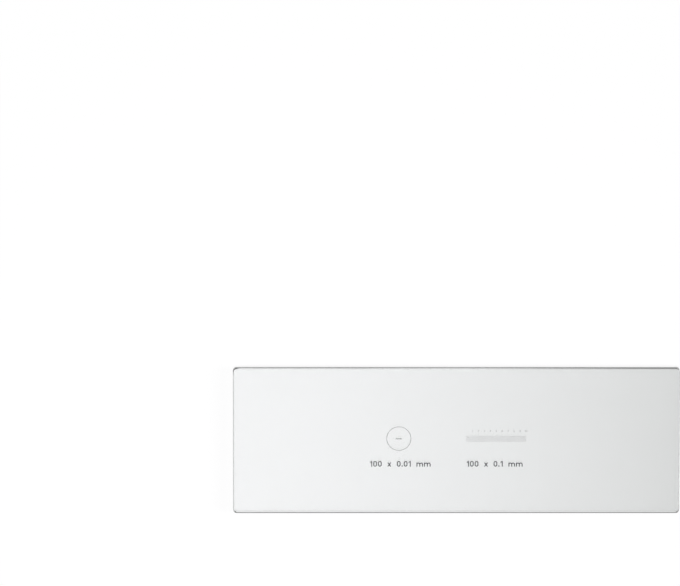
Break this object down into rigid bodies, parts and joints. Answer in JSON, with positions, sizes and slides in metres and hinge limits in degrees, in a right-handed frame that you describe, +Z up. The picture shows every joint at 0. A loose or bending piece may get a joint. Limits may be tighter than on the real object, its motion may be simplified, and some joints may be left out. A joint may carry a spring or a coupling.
{
  "type": "microscope slide",
  "caption": "Flat ground-edge glass microscope slide with two graduated line scales, their numbers and legends, and a locating ring, for calibrating a microscope.",
  "frame": {"origin": "centre of the underside of the glass plate", "axes": "+X along the plate's length, the way the figures read; +Y across the plate, from the figures' feet to their heads; +Z up, out of the face that carries the marks"},
  "size_m": [0.075, 0.025, 0.0011],
  "materials": {
    "clear_glass": "polished clear faces, finely ground edges and bevels",
    "dark_film": "thin dark chrome film"
  },
  "bodies": {
    "root": {"glass_plate": "clear_glass", "locating_ring": "dark_film", "fine_scale": "dark_film", "coarse_scale": "dark_film", "scale_numbers": "dark_film", "fine_scale_legend": "dark_film", "coarse_scale_legend": "dark_film"}
  },
  "joints": []
}
